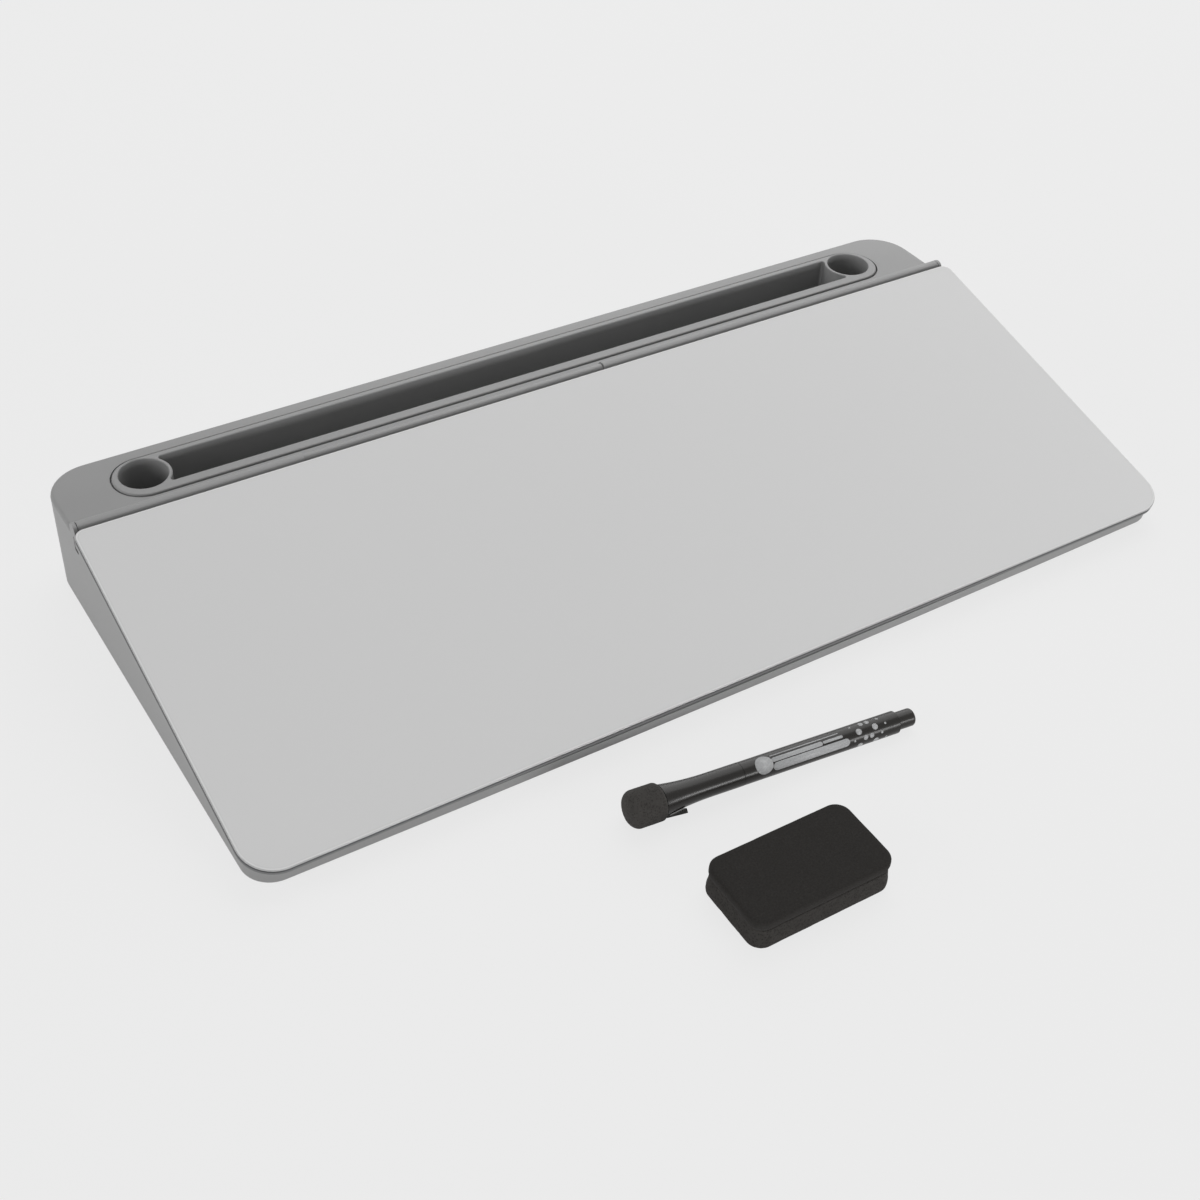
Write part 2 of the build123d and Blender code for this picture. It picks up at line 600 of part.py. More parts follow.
def pen_tray():
    flange_bottom = DECK_HEIGHT - TRAY_FLANGE + SEAT_GAP
    tray = column(tray_outline(0), flange_bottom, TRAY_TOP)
    tray = fillet(tray.edges().group_by(Axis.Z)[-1], TRAY_RIM_ROUND)
    tray += column(trough_outline(TRAY_WALL), TROUGH_FLOOR - TRAY_FLOOR, flange_bottom)
    tray += column(cups(CUP_RADIUS + CUP_WALL), CUP_FLOOR - TRAY_FLOOR, flange_bottom)
    trough = trough_outline(0) - cups(CUP_RADIUS + CUP_RING)
    tray -= tray_hollow(fillet(trough.vertices(), TROUGH_CORNER), TROUGH_FLOOR, TROUGH_CORNER / 2)
    for side in (-1, 1):
        tray -= tray_hollow(Pos(side * CUP_X, CUP_Y) * Circle(CUP_RADIUS), CUP_FLOOR, CUP_FLOOR_ROUND)
    return tray


def turned(points):
    """A solid turned about the marker's own axis from a half profile of (station, radius)."""
    outline = make_face(Polyline(*[(station, radius) for station, radius in points], close=True))
    return revolve(outline, Axis.X)


CAP_START = FOAM_LENGTH
PARTING = CAP_START + CAP_LENGTH
TAIL = PARTING + BARREL_BODY_LENGTH
CONTACT_FOAM = FOAM_LENGTH - FOAM_BACK_ROUND
MARKER_TILT = degrees(asin((FOAM_RADIUS - BARREL_BODY_RADIUS) / (TAIL - BARREL_EDGE - CONTACT_FOAM)))
MARKER_TIP_HEIGHT = FOAM_RADIUS * cos(radians(MARKER_TILT)) + CONTACT_FOAM * sin(radians(MARKER_TILT))
MARKER = (
    Pos(MARKER_TIP_X, GLASS_FRONT - MARKER_TIP_FROM_GLASS, MARKER_TIP_HEIGHT)
    * Rot(0, 0, MARKER_HEADING)
    * Rot(0, MARKER_TILT, 0)
)
NIB_TIP = PARTING - SPIGOT_LENGTH - HOLDER_NOSE_LENGTH - NIB_PROUD


def marker_foam_tip():
    body = Pos(FOAM_LENGTH / 2, 0, 0) * Rot(0, 90, 0) * Cylinder(FOAM_RADIUS, FOAM_LENGTH)
    body = fillet(body.edges().group_by(Axis.X)[0], FOAM_END_ROUND)
    body = fillet(body.edges().group_by(Axis.X)[-1], FOAM_BACK_ROUND)
    body -= along_x(FOAM_GRIP_RADIUS, FOAM_LENGTH - FOAM_GRIP_LENGTH, FOAM_LENGTH, 0, 0)
    return MARKER * body


def marker_cap():
    spigot_start = CAP_START - FOAM_GRIP_LENGTH + FOAM_GRIP_GAP
    spigot_radius = FOAM_GRIP_RADIUS - FOAM_GRIP_GAP
    mouth = PARTING - CAP_PARTING_GAP
    flare_end = CAP_START + CAP_FLARE_LENGTH
    flare = Spline(
        (CAP_START, CAP_FOAM_RADIUS),
        (flare_end, CAP_MOUTH_RADIUS),
        tangents=((1, -CAP_FLARE_SLOPE), (1, 0)),
    )
    edge = Polyline(
        (flare_end, CAP_MOUTH_RADIUS),
        (mouth, CAP_MOUTH_RADIUS),
        (mouth, 0),
        (spigot_start, 0),
        (spigot_start, spigot_radius),
        (CAP_START, spigot_radius),
        (CAP_START, CAP_FOAM_RADIUS),
    )
    cap = revolve(make_face([flare, *edge.edges()]), Axis.X)
    clip_end = CAP_START + CLIP_LENGTH
    clip_root = CAP_START + CLIP_ROOT
    clip = Polyline(
        (CAP_START, -CAP_MOUTH_RADIUS),
        (CAP_START, -CLIP_ROOT_REACH),
        (clip_end, -CLIP_REACH),
        (clip_end, CLIP_THICKNESS - CLIP_REACH),
        (clip_root, -CAP_FOAM_RADIUS),
        (clip_root, -CAP_MOUTH_RADIUS),
        close=True,
    )
    cap += Rot(-CLIP_TURN, 0, 0) * extrude(Plane.XZ * make_face(clip), CLIP_WIDTH / 2, both=True)
    cap -= along_x(SPIGOT_RADIUS + CAP_FIT, CAP_START + CAP_END_WALL, mouth, 0, 0)
    return MARKER * cap


def marker_barrel():
    tube = along_x(BARREL_BODY_RADIUS, PARTING, TAIL, 0, 0)
    tube = chamfer(tube.edges().group_by(Axis.X)[-1], BARREL_EDGE)
    tube += along_x(SPIGOT_RADIUS, PARTING - SPIGOT_LENGTH, PARTING, 0, 0)
    tube -= along_x(BARREL_BORE_RADIUS, PARTING - SPIGOT_LENGTH, TAIL, 0, 0)
    return MARKER * tube


def marker_end_plug():
    plug = along_x(PLUG_RADIUS, TAIL - PLUG_INSERT_LENGTH, TAIL + PLUG_LENGTH, 0, 0)
    return MARKER * fillet(plug.edges().group_by(Axis.X)[-1], PLUG_END_ROUND)


def nib_holder():
    """The turned holder that seats in the mouth of the barrel and grips the nib."""
    front = PARTING - SPIGOT_LENGTH
    insert = BARREL_BORE_RADIUS - MARKER_FIT
    grip = NIB_RADIUS + MARKER_FIT
    profile = (
        (front - HOLDER_NOSE_LENGTH, grip),
        (front - HOLDER_NOSE_LENGTH, HOLDER_NOSE_RADIUS),
        (front - HOLDER_COLLAR, insert),
        (front - HOLDER_COLLAR, SPIGOT_RADIUS),
        (front, SPIGOT_RADIUS),
        (front, insert),
        (front + HOLDER_INSERT_LENGTH, insert),
        (front + HOLDER_INSERT_LENGTH, grip),
    )
    return MARKER * turned(profile)


def marker_nib():
    nib = along_x(NIB_RADIUS, NIB_TIP, NIB_TIP + NIB_PROUD + HOLDER_NOSE_LENGTH + NIB_TAIL, 0, 0)
    return MARKER * fillet(nib.edges().group_by(Axis.X)[0], NIB_ROUND)


def ink_reservoir():
    nib_end = NIB_TIP + NIB_PROUD + HOLDER_NOSE_LENGTH + NIB_TAIL
    end = TAIL - PLUG_INSERT_LENGTH - RESERVOIR_GAP
    return MARKER * along_x(RESERVOIR_RADIUS, nib_end, end, 0, 0)


def eraser_outline(inset):
    return RectangleRounded(ERASER_LENGTH - 2 * inset, ERASER_WIDTH - 2 * inset, ERASER_CORNER - inset)


def eraser_body():
    """The foam block, whose sides lean in towards the felt."""
    sole = chamfer(column(eraser_outline(0), 0, ERASER_SOLE).edges().group_by(Axis.Z)[0], ERASER_EDGE)
    waist = extrude(eraser_outline(0), ERASER_FOAM_HEIGHT - ERASER_SOLE, taper=ERASER_LEAN)
    return ERASER * (sole + Pos(0, 0, ERASER_SOLE) * waist)


def eraser_felt():
    felt = column(eraser_outline(FELT_INSET), ERASER_FOAM_HEIGHT, ERASER_FOAM_HEIGHT + ERASER_FELT_HEIGHT)
    return ERASER * chamfer(felt.edges().group_by(Axis.Z)[0] + felt.edges().group_by(Axis.Z)[-1], ERASER_EDGE)


PIECES = (
    base_housing,
    bottom_cover,
    cover_screws,
    rubber_feet,
    lid_bumpers,
    hinge_rod_left,
    hinge_rod_right,
    lid_frame,
    glass_panel,
    backing_film,
    mounting_tape,
    pen_tray,
    marker_cap,
    marker_foam_tip,
    marker_barrel,
    marker_end_plug,
    nib_holder,
    marker_nib,
    ink_reservoir,
    eraser_body,
    eraser_felt,
)

os.makedirs("parts", exist_ok=True)
for piece in PIECES:
    solids = piece()
    if isinstance(solids, list):
        solids = Compound(children=solids)
    export_step(Pos(0, -MIDDLE_Y, 0) * solids, f"parts/{piece.__name__}.step")
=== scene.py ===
import math

import bmesh
import bpy
from mathutils import Matrix, Vector, noise


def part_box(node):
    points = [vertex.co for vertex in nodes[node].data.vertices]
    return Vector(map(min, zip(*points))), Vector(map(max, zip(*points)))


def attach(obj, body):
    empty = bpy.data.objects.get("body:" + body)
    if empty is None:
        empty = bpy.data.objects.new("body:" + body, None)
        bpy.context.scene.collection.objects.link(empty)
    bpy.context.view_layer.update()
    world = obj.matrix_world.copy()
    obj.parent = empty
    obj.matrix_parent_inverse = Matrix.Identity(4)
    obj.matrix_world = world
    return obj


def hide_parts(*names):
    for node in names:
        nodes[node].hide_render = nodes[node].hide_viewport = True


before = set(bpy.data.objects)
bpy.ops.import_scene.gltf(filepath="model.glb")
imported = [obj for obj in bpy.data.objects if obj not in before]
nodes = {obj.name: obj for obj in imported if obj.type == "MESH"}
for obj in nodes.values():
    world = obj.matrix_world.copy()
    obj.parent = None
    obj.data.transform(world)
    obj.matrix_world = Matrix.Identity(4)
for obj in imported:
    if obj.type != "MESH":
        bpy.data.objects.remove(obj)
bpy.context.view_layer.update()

# Lengths are in millimetres and scaled by MM, apart from the lamps, the floor and the relief of a
# material, which are in metres
MM = 0.001

# Camera of the photograph: place in the frame, heading, height angle, roll and lens
CAMERA_PLACE = Vector((-340.1, -416.4, 463.6)) * MM
CAMERA_AZIMUTH = math.radians(34.91)
CAMERA_ELEVATION = math.radians(40.70)
CAMERA_ROLL = math.radians(3.88)
LENS = 51.22
SENSOR = 36.0

# The glass: its tilt, its rear top edge and its outline
GLASS_TILT = math.radians(13.56)
GLASS_UP = Vector((0.0, -math.sin(GLASS_TILT), math.cos(GLASS_TILT)))
GLASS_BACK = Vector((0.0, math.cos(GLASS_TILT), math.sin(GLASS_TILT)))
GLASS_REAR_EDGE = Vector((0.0, 108.874, 50.004))
GLASS_LENGTH = 440.0
GLASS_DEPTH = 165.2
GLASS_FRONT_CORNER = 14.2
GLASS_REAR_CORNER = 4.5
# Fades from (start, end): a painted highlight along the border and a painted shadow line inside it, both
# from the outline, and the painted shade at the top of the edge, which turns to a painted reflection
# lower down, from the face down
GLASS_HIGHLIGHT_FADE = (0.9, 1.1)
GLASS_SHADOW_LINE_FADE = (1.25, 1.5)
GLASS_EDGE_SHADE_FADE = (0.9, 1.6)

# The marker's own axis, from the end of its foam tip, and its foam tip
MARKER_PLACE = Vector((-91.1, -84.621, 7.639))
MARKER_HEADING = math.radians(-4.9)
MARKER_TILT = math.radians(1.53)
FOAM_LENGTH = 14.4
FOAM_RADIUS = 7.3
FOAM_FRONT_ROUND = 4.2
FOAM_BACK_ROUND = 2.0
FOAM_DOME = 0.35
FOAM_GRIP_RADIUS = 4.0
FOAM_GRIP_LENGTH = 8.0
# Points round the tip and steps along each stretch of its outline, then how uneven its skin is
TIP_AROUND = 132
TIP_DOME_STEPS = 8
TIP_ROUND_STEPS = 16
TIP_SIDE_STEPS = 24
TIP_BACK_STEPS = 8
TIP_SKIN_INSET = 0.05
TIP_SWELL = 0.05
TIP_SWELL_RATE = 0.35
# (size, depth) of the pits in the foam, and how wide a pit is for its size
TIP_PITS = (0.75, 0.13)
ERASER_PITS = (0.9, 0.08)
PIT_WIDTH = 0.55

# The print on the barrel: a disc and four bars as (station, degrees from the way it faces, half
# length of the straight part, half width, rows), then dots in columns that take turns, as
# (station, radius)
BARREL_RADIUS = 4.5
PRINT_LIFT = 0.012
PRINT_THICKNESS = 0.02
PRINT_FACING = math.radians(40.0)
PRINT_SHAPES = (
    (56.6, -6.0, 0.0, 3.7, 28),
    (77.2, 20.0, 15.4, 1.6, 14),
    (71.4, -15.5, 10.5, 0.85, 10),
    (87.4, -17.0, 3.9, 0.55, 8),
    (75.4, -39.5, 15.0, 0.22, 6),
)
DOTS = (
    ((96.5, 0.45), (101.5, 1.0), (104.3, 1.0), (109.0, 0.55)),
    ((99.1, 1.25), (106.5, 1.25), (111.3, 0.45)),
)
DOT_COLUMNS = 9
DOT_COLUMN_TURN = 38.0
DOT_FIRST_TURN = -50.0
DOT_ROWS = 12

# The eraser, from its middle: its foam block is a little shorter than its felt
ERASER_TURN = math.radians(-0.6)
ERASER_LENGTH = 61.6
ERASER_WIDTH = 34.4
ERASER_CORNER = 6.6
ERASER_FOOT_CORNER = 6.0
ERASER_BODY_SHORT = 1.3
# (height, inset from the widest outline) up the foam block and up the felt
ERASER_BODY_SIDE = (
    (0.0, 0.7), (0.25, 0.32), (0.7, 0.12), (1.3, 0.02), (2.0, 0.0), (2.9, 0.0), (3.8, 0.08),
    (4.7, 0.24), (5.6, 0.36), (6.5, 0.5), (7.3, 0.62), (8.0, 0.72), (8.5, 0.82), (8.8, 0.95),
)
ERASER_FELT_SIDE = (
    (8.8, 1.2), (9.2, 0.95), (9.7, 0.75), (10.3, 0.6), (10.9, 0.5), (11.9, 0.5), (12.7, 0.57),
    (13.15, 0.78), (13.42, 1.15), (13.56, 1.7),
)
# Steps along a corner, a long side and a short side, and from there in to the middle line
ERASER_CORNER_STEPS = 12
ERASER_LONG_STEPS = 60
ERASER_SHORT_STEPS = 26
ERASER_CLOSING_STEPS = 14
# (depth, size) of the waves in the sides, and how they fade towards the middle and flatten upright
FOAM_WAVES = ((0.14, 5.0), (0.06, 1.3))
FELT_WAVES = ((0.12, 7.0), (0.07, 1.6))
WAVE_FADE = 6
WAVE_UPRIGHT = 0.6
# The heights between which the foam block is pitted, the height where the felt's face starts,
# (size, slice, height) of the face's unevenness, and its drop, which keeps it inside the real height
PITTED_FROM = 0.1
PITTED_TO = 8.7
FELT_FACE_FROM = 12.8
FELT_FACE_WAVES = ((9.0, 0.0, 0.05), (1.4, 3.0, 0.025))
FELT_FACE_DROP = 0.05
# Points closer than this are one, and edges shorter than this go, in metres
WELD = 2e-6
SHORTEST_EDGE = 1e-6

# Tones as they look in the photograph, as sRGB greys out of 255
PAPER_TONE = 237
GLASS_TONE = 201
# Painted shade along the top of the glass edge, and the painted reflection on the edge below it
GLASS_EDGE_SHADE_TONE = 70
GLASS_EDGE_REFLECTION_TONE = 122
GLASS_BEVEL_TONE = 178
PLASTIC_TONE = 144
BLACK_TONE = 27
TIP_TONE = 63
FOAM_TONE = 52
FELT_TONE = 46
PRINT_TONE = 178
# Tones of what the photograph hides
COVER_TONE = 136
SCREW_TONE = 178
ROD_TONE = 190
FOOT_TONE = 62
BUMPER_TONE = 165
FILM_TONE = 222
TAPE_TONE = 215
HOLDER_TONE = 214
NIB_TONE = 40
RESERVOIR_TONE = 48
# Pores to a metre in each foam
TIP_PORES = 1300.0
ERASER_PORES = 1100.0
PLAIN_PORES = 1500.0

# Soft studio lamps in metres: name, place, width, height and brightness of the lit face
LAMPS = (
    ("scrim", (0.98, 1.01, 1.43), 2.2, 2.55, 1.9),
    ("front_strip", (0.45, -1.35, 0.29), 0.6, 0.24, 17.0),
    ("front_fill", (-0.30, -1.40, 0.28), 0.6, 0.3, 4.5),
    ("left_panel", (-2.40, 0.30, 0.66), 2.4, 1.24, 2.85),
)
LAMP_AIM = Vector((0.0, 0.0, 0.02))
WORLD_LIGHT = 0.23
FLOOR_HALF = 6.0
FLOOR_PLAIN_SHARE = 0.9


def linear(tone):
    """A grey given as it looks, out of 255, as the light that it reflects."""
    value = tone / 255.0
    if value <= 0.04045:
        return value / 12.92
    return ((value + 0.055) / 1.055) ** 2.4


def grey(tone, warmth=0.0):
    """A grey of a look, a little warmer where warmth is over zero."""
    return (linear(tone + warmth), linear(tone), linear(tone - warmth), 1.0)


def camera():
    """The camera that took the photograph."""
    flat = Vector((math.sin(CAMERA_AZIMUTH), math.cos(CAMERA_AZIMUTH), 0.0))
    forward = flat * math.cos(CAMERA_ELEVATION) - Vector((0.0, 0.0, math.sin(CAMERA_ELEVATION)))
    right = forward.cross(Vector((0.0, 0.0, 1.0))).normalized()
    up = right.cross(forward)
    rolled_right = right * math.cos(CAMERA_ROLL) + up * math.sin(CAMERA_ROLL)
    rolled_up = up * math.cos(CAMERA_ROLL) - right * math.sin(CAMERA_ROLL)
    data = bpy.data.cameras.new("photo_camera")
    data.lens = LENS
    data.sensor_width = SENSOR
    data.clip_end = 50.0
    item = bpy.data.objects.new("photo_camera", data)
    turn = Matrix((rolled_right, rolled_up, -forward)).transposed().to_4x4()
    item.matrix_world = Matrix.Translation(CAMERA_PLACE) @ turn
    bpy.context.scene.collection.objects.link(item)
    bpy.context.scene.camera = item


class Surface:
    """A node material that is put together a step at a time."""

    def __init__(self, name):
        self.material = bpy.data.materials.new(name)
        self.material.use_nodes = True
        self.tree = self.material.node_tree
        self.shader = self.tree.nodes["Principled BSDF"]
        self.place = self.add("ShaderNodeTexCoord")
        self.height = None

    def add(self, kind, **settings):
        node = self.tree.nodes.new(kind)
        for key, value in settings.items():
            setattr(node, key, value)
        return node

    def link(self, start, end):
        self.tree.links.new(start, end)

    def set(self, **values):
        for key, value in values.items():
            self.shader.inputs[key.replace("_", " ")].default_value = value

    def noise(self, scale, detail=2.0, rough=0.5, stretch=None):
        """Noise in the frame, so that its grain has a real size."""
        texture = self.add("ShaderNodeTexNoise")
        texture.inputs["Scale"].default_value = scale
        texture.inputs["Detail"].default_value = detail
        texture.inputs["Roughness"].default_value = rough
        source = self.place.outputs["Object"]
        if stretch:
            mapping = self.add("ShaderNodeMapping")
            mapping.inputs["Scale"].default_value = stretch
            self.link(source, mapping.inputs["Vector"])
            source = mapping.outputs["Vector"]
        self.link(source, texture.inputs["Vector"])
        return texture.outputs["Fac"]

    def cells(self, scale):
        texture = self.add("ShaderNodeTexVoronoi")
        texture.inputs["Scale"].default_value = scale
        self.link(self.place.outputs["Object"], texture.inputs["Vector"])
        return texture.outputs["Distance"]

    def along(self, direction, origin):
        """How far a point lies along a direction from a place in the frame, in millimetres."""
        node = self.add("ShaderNodeVectorMath", operation="DOT_PRODUCT")
        node.inputs[1].default_value = direction / MM
        self.link(self.place.outputs["Object"], node.inputs[0])
        return self.math("SUBTRACT", node.outputs["Value"], direction.dot(origin))

    def math(self, operation, first, second=0.0):
        node = self.add("ShaderNodeMath", operation=operation)
        for socket, value in zip(node.inputs, (first, second)):
            if isinstance(value, float):
                socket.default_value = value
            else:
                self.link(value, socket)
        return node.outputs[0]

    def span(self, source, low, high, start=0.0, end=1.0):
        """A value moved from one span to another."""
        node = self.add("ShaderNodeMapRange")
        node.inputs["From Min"].default_value = start
        node.inputs["From Max"].default_value = end
        node.inputs["To Min"].default_value = low
        node.inputs["To Max"].default_value = high
        self.link(source, node.inputs["Value"])
        return node.outputs["Result"]

    def mix(self, share, first, second):
        """A colour between two, which are colours or sockets."""
        node = self.add("ShaderNodeMix", data_type="RGBA")
        for socket, value in ((node.inputs[6], first), (node.inputs[7], second)):
            if isinstance(value, tuple):
                socket.default_value = value
            else:
                self.link(value, socket)
        self.link(share, node.inputs[0])
        return node.outputs[2]

    def colour(self, source):
        self.link(source, self.shader.inputs["Base Color"])

    def roughness(self, source):
        self.link(source, self.shader.inputs["Roughness"])

    def bump(self, source, depth, strength=1.0):
        """Relief of a real depth in metres; further calls add finer relief on top."""
        node = self.add("ShaderNodeBump")
        node.inputs["Distance"].default_value = depth
        node.inputs["Strength"].default_value = strength
        self.link(source, node.inputs["Height"])
        if self.height:
            self.link(self.height, node.inputs["Normal"])
        self.height = node.outputs["Normal"]
        self.link(self.height, self.shader.inputs["Normal"])

    def background(self, plain, share):
        """Camera, glossy and transmission rays see a plain colour for this share."""
        glow = self.add("ShaderNodeEmission")
        glow.inputs["Color"].default_value = plain
        pick = self.add("ShaderNodeMixShader")
        self.link(self.span(plain_rays(self.tree), 0.0, share), pick.inputs["Fac"])
        self.link(self.shader.outputs["BSDF"], pick.inputs[1])
        self.link(glow.outputs["Emission"], pick.inputs[2])
        self.link(pick.outputs["Shader"], self.tree.nodes["Material Output"].inputs["Surface"])


def plain_rays(tree):
    """One for the rays that show the background, to the camera or in metal, gloss and glass."""
    path = tree.nodes.new("ShaderNodeLightPath")
    last = path.outputs["Is Camera Ray"]
    for name in ("Is Glossy Ray", "Is Transmission Ray"):
        either = tree.nodes.new("ShaderNodeMath")
        either.operation = "MAXIMUM"
        tree.links.new(last, either.inputs[0])
        tree.links.new(path.outputs[name], either.inputs[1])
        last = either.outputs[0]
    return last


def moulded_plastic(name, tone):
    """Satin moulded plastic with a fine spark-eroded grain and faint flow marks."""
    s = Surface(name)
    flow = s.noise(9.0, detail=3.0, rough=0.6)
    grain = s.noise(2600.0, detail=2.0, rough=0.6)
    s.colour(s.mix(s.span(flow, 0.0, 1.0, start=0.3, end=0.7), grey(tone - 2), grey(tone + 2)))
    s.roughness(s.span(grain, 0.42, 0.54, start=0.3, end=0.7))
    s.bump(grain, depth=0.00002, strength=0.5)
    s.set(Specular_IOR_Level=0.4)
    return s.material


def gloss_black(name, tone=BLACK_TONE):
    """Glossy black moulding with a faint brown cast and fine handling marks."""
    s = Surface(name)
    cloud = s.noise(70.0, detail=2.0, rough=0.5)
    marks = s.noise(600.0, detail=2.0, rough=0.5)
    s.colour(s.mix(cloud, grey(tone - 2, 2.0), grey(tone + 3, 2.0)))
    s.roughness(s.span(marks, 0.27, 0.29, start=0.3, end=0.7))
    s.bump(cloud, depth=0.00003, strength=0.15)
    s.set(Specular_IOR_Level=0.28)
    return s.material


def foam(name, tone, pores_to_metre):
    """Closed-cell foam: fine pores over a matt skin, darkened with painted shade where they sink in."""
    s = Surface(name)
    pores = s.cells(pores_to_metre)
    cloud = s.noise(260.0, detail=4.0, rough=0.7)
    fine = s.noise(2400.0, detail=3.0, rough=0.7)
    base = s.mix(s.span(cloud, 0.0, 1.0, start=0.3, end=0.7), grey(tone - 5, 2.0), grey(tone + 5, 2.0))
    # Painted shade: darker in the pores, where the skin sinks in
    s.colour(s.mix(s.span(pores, 1.0, 0.0, start=0.0, end=0.45), base, grey(tone - 26, 1.5)))
    s.roughness(s.span(fine, 0.85, 1.0))
    s.bump(pores, depth=0.00012, strength=0.6)
    s.bump(fine, depth=0.00004, strength=0.5)
    s.set(Specular_IOR_Level=0.08, Sheen_Weight=0.04, Sheen_Roughness=0.6)
    return s.material


def felt(name, tone):
    """Dense felt: short fibres lying every way."""
    s = Surface(name)
    fibres = s.noise(1500.0, detail=4.0, rough=0.75)
    cloud = s.noise(90.0, detail=3.0, rough=0.6)
    base = s.mix(s.span(fibres, 0.0, 1.0, start=0.3, end=0.7), grey(tone - 6, 1.5), grey(tone + 6, 1.5))
    s.colour(s.mix(s.span(cloud, 0.0, 0.3, start=0.3, end=0.7), base, grey(tone - 5, 1.5)))
    s.roughness(s.span(fibres, 0.9, 1.0))
    s.bump(fibres, depth=0.00012, strength=0.6)
    s.set(Specular_IOR_Level=0.04, Sheen_Weight=0.05, Sheen_Roughness=0.5)
    return s.material


def rubber(name, tone):
    """Soft rubber with a fine matt grain."""
    s = Surface(name)
    grain = s.noise(1500.0, detail=3.0, rough=0.6)
    s.colour(s.mix(grain, grey(tone - 4), grey(tone + 4)))
    s.roughness(s.span(grain, 0.6, 0.8))
    s.bump(grain, depth=0.00005, strength=0.6)
    return s.material


def steel(name, tone, stretch):
    """Drawn or plated steel with fine lines along one direction."""
    s = Surface(name)
    lines = s.noise(500.0, detail=3.0, rough=0.7, stretch=stretch)
    s.colour(s.mix(lines, grey(tone - 12), grey(tone + 12)))
    s.roughness(s.span(lines, 0.22, 0.38))
    s.bump(lines, depth=0.00002, strength=0.5)
    s.set(Metallic=1.0)
    return s.material


def fibre(name, tone):
    """Pressed fibre: lines along the marker."""
    s = Surface(name)
    strands = s.noise(700.0, detail=4.0, rough=0.7, stretch=(0.15, 1.0, 1.0))
    s.colour(s.mix(strands, grey(tone - 10), grey(tone + 10)))
    s.roughness(s.span(strands, 0.8, 1.0))
    s.bump(strands, depth=0.0001, strength=0.8)
    return s.material


def film(name, tone):
    """Plain smooth film, hardly uneven."""
    s = Surface(name)
    cloud = s.noise(40.0, detail=2.0, rough=0.5)
    s.colour(s.mix(cloud, grey(tone - 2), grey(tone + 2)))
    s.roughness(s.span(cloud, 0.45, 0.55))
    return s.material


def print_ink():
    """Thin pale ink, a little uneven where it was pressed on."""
    s = Surface("pale_print")
    speckle = s.noise(1800.0, detail=3.0, rough=0.6)
    share = s.span(speckle, 0.0, 1.0, start=0.25, end=0.6)
    s.colour(s.mix(share, grey(PRINT_TONE - 24, -1.0), grey(PRINT_TONE, -1.0)))
    s.roughness(s.span(speckle, 0.32, 0.42))
    s.bump(speckle, depth=0.00001, strength=0.4)
    s.set(Specular_IOR_Level=0.3)
    return s.material


def glass_edge_distance(s):
    """How far a point of the glass lies inside its rounded outline, in millimetres."""
    across = s.math("ABSOLUTE", s.along(Vector((1.0, 0.0, 0.0)), GLASS_REAR_EDGE))
    middle = s.math("ADD", s.along(GLASS_BACK, GLASS_REAR_EDGE), GLASS_DEPTH / 2)
    behind = s.math("GREATER_THAN", middle, 0.0)
    corner = s.span(behind, GLASS_FRONT_CORNER, GLASS_REAR_CORNER)
    over_x = s.math("ADD", s.math("SUBTRACT", across, GLASS_LENGTH / 2), corner)
    over_y = s.math("ADD", s.math("SUBTRACT", s.math("ABSOLUTE", middle), GLASS_DEPTH / 2), corner)
    square_x = s.math("POWER", s.math("MAXIMUM", over_x, 0.0), 2.0)
    square_y = s.math("POWER", s.math("MAXIMUM", over_y, 0.0), 2.0)
    rounded = s.math("SQRT", s.math("ADD", square_x, square_y))
    straight = s.math("MINIMUM", s.math("MAXIMUM", over_x, over_y), 0.0)
    return s.math("SUBTRACT", corner, s.math("ADD", rounded, straight))


def white_glass():
    """Glass over its white backing: an even face with a painted highlight along its border and a painted
    shadow line inside it, and an edge with painted shade at its top and a painted reflection lower down.
    """
    s = Surface("white_glass")
    facing = s.add("ShaderNodeVectorMath", operation="DOT_PRODUCT")
    facing.inputs[1].default_value = GLASS_UP
    s.link(s.place.outputs["Normal"], facing.inputs[0])
    up = facing.outputs["Value"]
    cloud = s.noise(6.0, detail=2.0, rough=0.5)
    face = s.mix(cloud, grey(GLASS_TONE - 1), grey(GLASS_TONE + 1))
    inside = glass_edge_distance(s)
    # Painted shadow: a darker line inside the bright border, where the white backing ends
    face = s.mix(s.span(inside, 1.0, 0.0, *GLASS_SHADOW_LINE_FADE), face, grey(GLASS_TONE - 5))
    # Painted highlight: a bright border along the outline of the face
    face = s.mix(s.span(inside, 1.0, 0.0, *GLASS_HIGHLIGHT_FADE), face, grey(GLASS_TONE + 7))
    depth = s.math("MULTIPLY", s.along(GLASS_UP, GLASS_REAR_EDGE), -1.0)
    streaks = s.noise(300.0, detail=2.0, rough=0.5, stretch=(0.2, 0.2, 1.0))
    # Painted shade along the top of the edge, with random streaks
    dark = s.mix(streaks, grey(GLASS_EDGE_SHADE_TONE - 5, -0.7), grey(GLASS_EDGE_SHADE_TONE + 5, -0.7))
    # Painted reflection on the lower part of the edge, with random streaks
    light = s.mix(streaks, grey(GLASS_EDGE_REFLECTION_TONE - 5, -0.7), grey(GLASS_EDGE_REFLECTION_TONE + 5, -0.7))
    # The painted shade turns to the painted reflection going down from the face
    edge = s.mix(s.span(depth, 0.0, 1.0, *GLASS_EDGE_SHADE_FADE), dark, light)
    # The way that the surface faces tells the face and the bevel from the side of the edge
    edge = s.mix(s.span(up, 0.0, 1.0, start=0.4, end=0.5), edge, grey(GLASS_BEVEL_TONE))
    on_face = s.span(up, 0.0, 1.0, start=0.8, end=0.95)
    s.colour(s.mix(on_face, edge, face))
    polish = s.noise(15.0, detail=2.0, rough=0.5)
    s.roughness(s.span(polish, 0.5, 0.6))
    s.link(s.span(on_face, 0.15, 1.0), s.shader.inputs["Coat Weight"])
    s.set(Coat_Roughness=0.06, Coat_IOR=1.45, Specular_IOR_Level=0.0)
    return s.material


